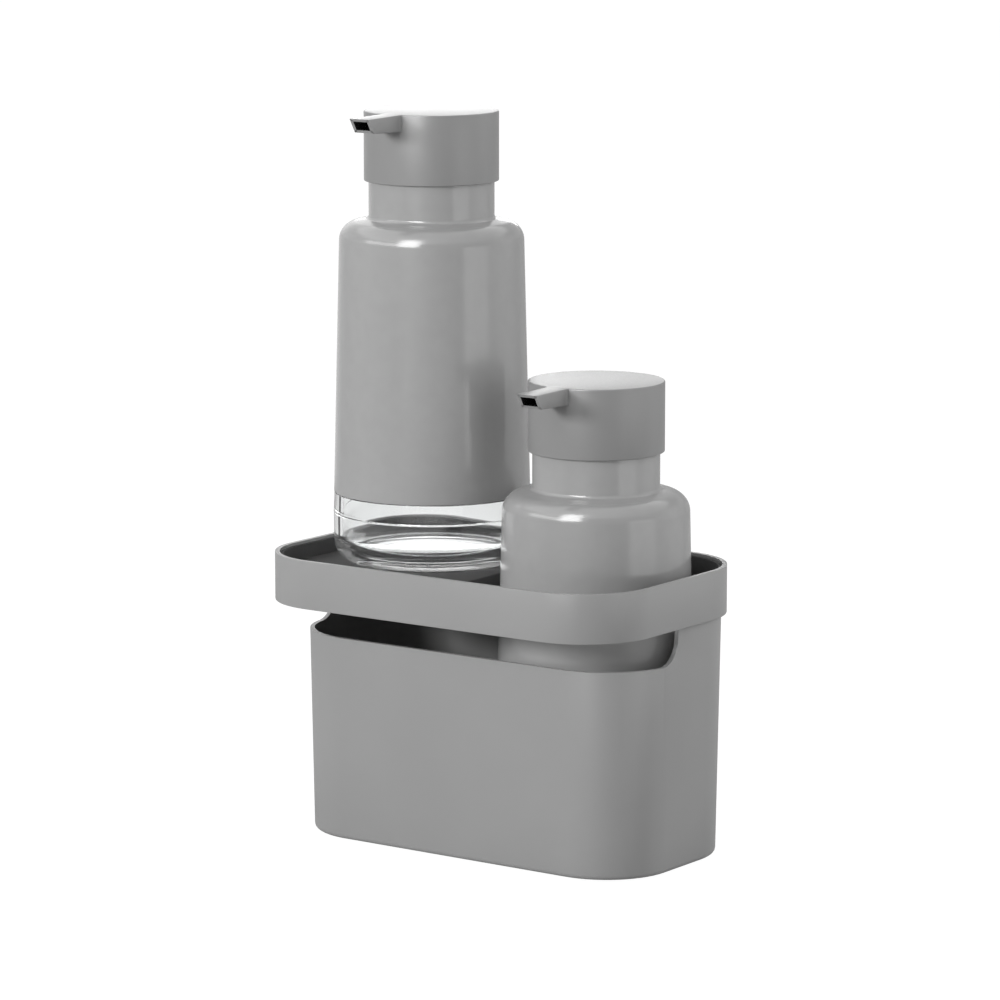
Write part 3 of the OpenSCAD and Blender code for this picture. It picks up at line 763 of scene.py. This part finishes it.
class ORGANIZER_OT_sleeves(Step, bpy.types.Operator):
    """Moulds the grip sleeves that hide all of a bottle but its window"""
    bl_idname = "organizer.sleeves"
    bl_label = "Grip Sleeves"

    def build(self, organizer):
        s = organizer.dispenser
        # Silicone rubber from a polished mould: mirrors the softboxes as soft-edged bands
        rubber = silicone_rubber("polished_silicone_rubber", organizer.finish.sleeve, 0.17)
        low, high = SLEEVE_LOW.z - BOTTLE_LOW.z, SLEEVE_HIGH.z - BOTTLE_LOW.z
        hem, collar = 0.3 * MM, 0.35 * MM
        wall = s.sleeve_wall
        bm = turned([
            (s.window_r, low, hem), *sleeve_corners(s, 0.0), (s.neck_r, high, collar), (s.neck_r - wall, high, collar),
            *reversed(sleeve_corners(s, wall)), (s.window_r - wall, low, hem)],
            closed=True, steps=s.steps, round_steps=10)
        keep_sharp(bm, 40)
        on_both_sides(bm, "grip", "sleeve", "dispenser", rubber)


class ORGANIZER_OT_heads(Step, bpy.types.Operator):
    """Moulds the pump heads: a cup with a socket for the stem, and a straight spout with an open mouth"""
    bl_idname = "organizer.heads"
    bl_label = "Pump Heads"

    def build(self, organizer):
        s, finish = organizer.head, organizer.finish
        # ABS from a fine satin mould: the softboxes show as broad blurred glows
        plastic = moulded_plastic("satin_abs", finish.head, 0.36)
        # Inside of the duct: painted shade. It is the same plastic, coloured nearly black because it lies out of the
        # light, so that it looks dark from outside
        shaded_duct = moulded_plastic("painted_shade_duct", finish.shaded_duct, 0.25)
        top = HEAD_HIGH.z - BOTTLE_LOW.z - s.spout_rise
        low = HEAD_LOW.z - BOTTLE_LOW.z
        seat = STEM_TOP - BOTTLE_LOW.z + 0.05 * MM
        inner = s.radius - s.wall
        ceiling = top - s.roof
        socket = ceiling - s.socket_depth
        cup = turned([
            (0, top, 0), (s.radius, top, s.edge), (s.radius, low, s.rim), (inner, low, s.rim),
            (inner, ceiling, 1 * MM), (s.socket_r, ceiling, 0.8 * MM), (s.socket_r, socket, s.rim),
            (s.bore, socket, s.rim), (s.bore, seat, 0), (0, seat, 0)],
            steps=organizer.dispenser.steps, round_steps=5)
        add_solid(cup, self.spout(s, top))
        keep_sharp(cup, 35)
        for cap in on_both_sides(cup, "cap", "head", "pump_head", plastic):
            cap.data.materials.append(shaded_duct)

    def spout(self, s, top):
        """A tapered bar from inside the skirt to a raked tip, hollowed from its mouth."""
        bm = bmesh.new()
        run = s.reach - s.radius
        flare = 0.5 * MM

        def section(out, grow=0.0, lean=0.0):
            """A rounded rectangle across the spout at a distance out from the skirt."""
            share = max(0.0, out / run)
            z_top = top + s.spout_rise - share * s.fall
            z_low = top - s.root - share * (s.tip + s.fall - s.root)
            half, y = s.width / 2 + grow, -(s.radius + out)
            return rounded_loop(bm, [(half, y, z_top), (-half, y, z_top), (-half, y + lean, z_low),
                                     (half, y + lean, z_low)], s.spout_edge, 3)

        loops = [section(-3 * MM, flare), section(-0.1 * MM, flare), section(0.15 * MM, flare * 0.35),
                 section(0.55 * MM), section(run - 6 * MM), section(run, lean=s.rake)]
        bridge(bm, loops)
        fill(bm, loops[0], loops[-1])
        face_outwards(bm)

        def foremost(faces):
            return min(faces, key=lambda f: f.calc_center_median().y)

        bmesh.ops.inset_region(bm, faces=[foremost(bm.faces)], thickness=s.cheek, depth=0, use_even_offset=True)
        mouth = foremost([f for f in bm.faces if len(f.verts) > 4])
        outside = set(bm.faces) - {mouth}
        shaded_duct = bmesh.ops.extrude_face_region(bm, geom=[mouth])["geom"]
        bmesh.ops.translate(bm, verts=[v for v in shaded_duct if isinstance(v, bmesh.types.BMVert)],
                            vec=(0, run + 2 * MM - s.rake, 0))
        if mouth.is_valid:
            bmesh.ops.delete(bm, geom=[mouth], context="FACES_ONLY")
        # The duct's faces take the second material, which is painted shade
        for face in bm.faces:
            face.material_index = 0 if face in outside else 1
        face_outwards(bm)
        return bm


class ORGANIZER_OT_springs(Step, bpy.types.Operator):
    """Winds the return springs inside the pump barrels"""
    bl_idname = "organizer.springs"
    bl_label = "Return Springs"

    def build(self, organizer):
        # Stainless music wire: bright and hard, drawn through a die
        steel = drawn_steel("drawn_stainless_wire", organizer.finish.steel)
        wire_r, turns, steps = 0.45 * MM, 7, 7 * 32
        for side in SIDES:
            low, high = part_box(f"{side}_spring")
            coil_r = (high.x - low.x) / 2 - wire_r
            bm = bmesh.new()
            bmesh.ops.create_circle(bm, cap_ends=False, radius=wire_r, segments=12,
                                    matrix=Matrix.Translation((coil_r, 0, low.z + wire_r))
                                    @ Matrix.Rotation(math.pi / 2, 4, "X"))
            sweep(bm, 2 * math.pi * turns, steps, rise=(high.z - low.z - 2 * wire_r) / steps)
            fill(bm, bm.edges[:])
            face_outwards(bm)
            keep_sharp(bm, 50)
            foot = foot_of(side)
            coil = finished(bm, f"{side}_coil", f"{side}_pump", steel, [f"{side}_spring"],
                            (foot.x, foot.y, 0))
            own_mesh(coil)


class ORGANIZER_OT_pumps(Step, bpy.types.Operator):
    """Finishes the pump parts that stay as the CAD made them"""
    bl_idname = "organizer.pumps"
    bl_label = "Pump Parts"

    def build(self, organizer):
        finish = organizer.finish
        # Natural polypropylene: waxy white
        white = milky_polymer("natural_polypropylene", finish.pump, 0.38)
        # Extruded polyethylene tube: milky and smooth
        tube = milky_polymer("extruded_polyethylene", finish.tube, 0.3)
        # Nitrile rubber: black-grey and dull
        seal = moulded_plastic("nitrile_rubber", finish.rubber, 0.6, texture_mm=0.3, depth_mm=0.008, ior=1.52)
        # Ground and polished ball
        ball = drawn_steel("polished_steel_ball", finish.steel)
        parts = {"stopper": white, "barrel": white, "gland": white, "stem": white, "dip_tube": tube,
                 "seal_ring": seal, "piston": seal, "check_ball": ball}
        for side in SIDES:
            for kind, material in parts.items():
                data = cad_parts[f"{side}_{kind}"].data
                data.materials.clear()
                data.materials.append(material)


class ORGANIZER_OT_stage(Step, bpy.types.Operator):
    """Sets the floor, the lamps, the world and the camera"""
    bl_idname = "organizer.stage"
    bl_label = "Stage"

    def build(self, organizer):
        s = organizer.studio
        self.world(s)
        self.floor()
        self.tent(s)
        self.lamps(s)
        self.camera()
        bpy.context.scene.view_settings.view_transform = "Standard"

    def world(self, s):
        """Even air: white wherever the camera sees it, straight or through glass, and a low level as a light."""
        world = bpy.data.worlds.new("studio_air")
        bpy.context.scene.world = world
        world.use_nodes = True
        tree = world.node_tree
        tree.nodes.clear()
        strength = add_node(tree, "MapRange", Value=self.seen(tree), To_Min=s.ambient, To_Max=1.0)
        air = add_node(tree, "Background", Color=(1, 1, 1, 1), Strength=strength)
        add_node(tree, "OutputWorld", Surface=air)

    def seen(self, tree):
        """1 for rays that show the background: from the camera, and on through glass."""
        path = add_node(tree, "LightPath")
        return add_node(tree, "Math", {"operation": "MAXIMUM"}, i0=path.outputs["Is Camera Ray"],
                        i1=path.outputs["Is Transmission Ray"])

    def floor(self):
        """A white sheet that keeps the object's shadow where it is seen, and plain paper as a light."""
        material, tree = new_material("white_paper_sweep")
        # A glow just short of white and a little diffuse paper, which the shadow takes away
        paper = add_node(tree, "BsdfDiffuse", Color=(0.1, 0.1, 0.1, 1))
        glow = add_node(tree, "Emission", Color=(1, 1, 1, 1), Strength=0.985)
        shown = add_node(tree, "AddShader", i0=paper, i1=glow)
        real = add_node(tree, "BsdfDiffuse", Color=(0.6, 0.6, 0.6, 1))
        either = add_node(tree, "MixShader", i0=self.seen(tree), i1=real, i2=shown)
        add_node(tree, "OutputMaterial", Surface=either)
        bm = bmesh.new()
        bmesh.ops.create_circle(bm, cap_ends=True, radius=6.0, segments=96)
        mesh_object(bm, "floor", material)

    def cloth(self, name, brightness, stops):
        """Lit cloth, even or with a brightness that changes with the angle from the camera's side, as angles and
        shares of it."""
        material, tree = new_material(name)
        colour, most = (1, 1, 1, 1), 1.0
        if stops:
            place = add_node(tree, "TexCoord").outputs["Object"]
            facing = add_node(tree, "Mapping", Vector=place, Rotation=(0, 0, math.pi / 2 - CAMERA_TURN))
            angle = add_node(tree, "TexGradient", {"gradient_type": "RADIAL"}, Vector=facing).outputs["Fac"]
            colour = add_node(tree, "ValToRGB", Fac=angle)
            most = max(share for _, share in stops)
            set_ramp(colour, [((degrees + 180) / 360, share / most) for degrees, share in stops])
        add_node(tree, "OutputMaterial", Surface=add_node(tree, "Emission", Color=colour, Strength=most * brightness))
        return material

    def panel(self, name, span, foot, head, brightness, stops=(), glass=False):
        """A curved sheet of lit cloth round the object between two angles from the camera's side, for reflections
        only. Foot and head are its radius and height. It shows in gloss, or only through glass."""
        bm = bmesh.new()
        first, width = math.radians(span[0]) + CAMERA_TURN, span[1] - span[0]
        bm.edges.new([bm.verts.new((r * math.sin(first), -r * math.cos(first), z)) for r, z in (foot, head)])
        sweep(bm, math.radians(width), max(4, width // 4))
        panel = mesh_object(bm, name, self.cloth(f"{name}_cloth", brightness, stops))
        panel.visible_camera = panel.visible_diffuse = panel.visible_shadow = False
        panel.visible_glossy, panel.visible_transmission = not glass, glass

    def tent(self, s):
        """The set that gloss mirrors: dark on the left, bright on the right and behind, with one small softbox."""
        low = ((-180, 1.0), (-165, 0.9), (-150, 0.65), (-125, 0.12), (-105, 0.0), (-46, 0.0), (-30, 0.9), (30, 1.1),
               (38, 1.2), (42, 3.3), (70, 3.3), (76, 1.9), (100, 1.3), (130, 0.4), (170, 0.4), (180, 1.0))
        high = ((-180, 1.8), (-140, 0.65), (-105, 0.13), (-45, 0.1), (-15, 0.5), (15, 0.9), (45, 1.5), (75, 1.7),
                (105, 1.2), (135, 0.5), (170, 0.6), (180, 1.8))
        self.panel("tent_low", (-180, 180), (0.72, 0.002), (0.72, 0.27), s.tent, low)
        self.panel("tent_high", (-180, 180), (0.72, 0.27), (0.72, 0.62), s.tent, high)
        self.panel("tent_lid", (-180, 180), (0.72, 0.62), (0.01, 0.98), 2.0 * s.tent)
        self.panel("softbox", (-45, -17), (0.70, 0.30), (0.46, 0.82), s.highlight)
        self.panel("softbox_spill", (-92, -45), (0.70, 0.33), (0.66, 0.50), 0.28 * s.highlight)
        self.panel("backdrop_high", (178, 188), (0.70, 0.31), (0.70, 0.44), s.backdrop)
        self.panel("backdrop_low", (169, 188), (0.70, 0.25), (0.70, 0.31), s.backdrop_low)
        self.panel("backdrop_through_glass", (140, 220), (0.71, 0.16), (0.71, 0.60), s.through, glass=True)
        # Black velvet, for the dark lines in the glass
        self.panel("black_flag", (-148, -141), (0.42, 0.002), (0.42, 0.12), 0.02, glass=True)

    def lamps(self, s):
        """Soft lamps that matt surfaces see and gloss does not, each at an angle from the camera's side and a height,
        with its width and its power."""
        distance, aim = 1.4, Vector((0, 0, 0.1))
        for name, azimuth, elevation, width, power in (
                ("key", -57, 18, 0.3, s.key), ("side", 102, 18, 0.9, s.side), ("top", -90, 86, 0.9, s.top)):
            data = bpy.data.lights.new(name, "AREA")
            data.size = width
            data.energy = power
            lamp = new_object(name, data)
            a, e = math.radians(azimuth) + CAMERA_TURN, math.radians(elevation)
            away = Vector((math.sin(a) * math.cos(e), -math.cos(a) * math.cos(e), math.sin(e)))
            lamp.location = away * distance + aim
            lamp.rotation_euler = away.to_track_quat("Z", "Y").to_euler()
            lamp.visible_glossy = lamp.visible_transmission = lamp.visible_camera = False

    def camera(self):
        """The photograph's camera."""
        data = bpy.data.cameras.new("camera")
        data.lens, data.sensor_width = CAMERA_LENS, CAMERA_SENSOR
        data.clip_start, data.clip_end = CAMERA_CLIP
        camera = new_object("camera", data)
        camera.location = CAMERA_PLACE
        camera.rotation_euler = (CAMERA_PLACE - CAMERA_TARGET).to_track_quat("Z", "Y").to_euler()
        bpy.context.scene.camera = camera


OPERATORS = (ORGANIZER_OT_bin, ORGANIZER_OT_pads, ORGANIZER_OT_tray, ORGANIZER_OT_bottles, ORGANIZER_OT_sleeves,
             ORGANIZER_OT_heads, ORGANIZER_OT_springs, ORGANIZER_OT_pumps, ORGANIZER_OT_stage)


class ORGANIZER_PT_sidebar(bpy.types.Panel):
    """Sizes, finishes and steps of the organizer"""
    bl_label = "Sink Organizer"
    bl_idname = "ORGANIZER_PT_sidebar"
    bl_space_type = "VIEW_3D"
    bl_region_type = "UI"
    bl_category = "Organizer"

    def draw(self, context):
        settings = context.scene.organizer
        for title, group in (("Bin", settings.bin), ("Tray", settings.tray), ("Dispenser", settings.dispenser),
                             ("Head", settings.head), ("Finish", settings.finish), ("Studio", settings.studio)):
            box = self.layout.box()
            box.label(text=title)
            for name in group.__annotations__:
                box.prop(group, name)
        for operator in OPERATORS:
            self.layout.operator(operator.bl_idname)


CLASSES = (BinSizes, TraySizes, DispenserSizes, HeadSizes, Finishes, Studio, Organizer, *OPERATORS,
           ORGANIZER_PT_sidebar)


def register():
    for cls in CLASSES:
        bpy.utils.register_class(cls)
    bpy.types.Scene.organizer = PointerProperty(type=Organizer)


def unregister():
    del bpy.types.Scene.organizer
    for cls in reversed(CLASSES):
        bpy.utils.unregister_class(cls)


def main():
    register()
    for operator in OPERATORS:
        step = operator.bl_idname.split(".")[1]
        getattr(bpy.ops.organizer, step)()


if __name__ == "__main__":
    main()
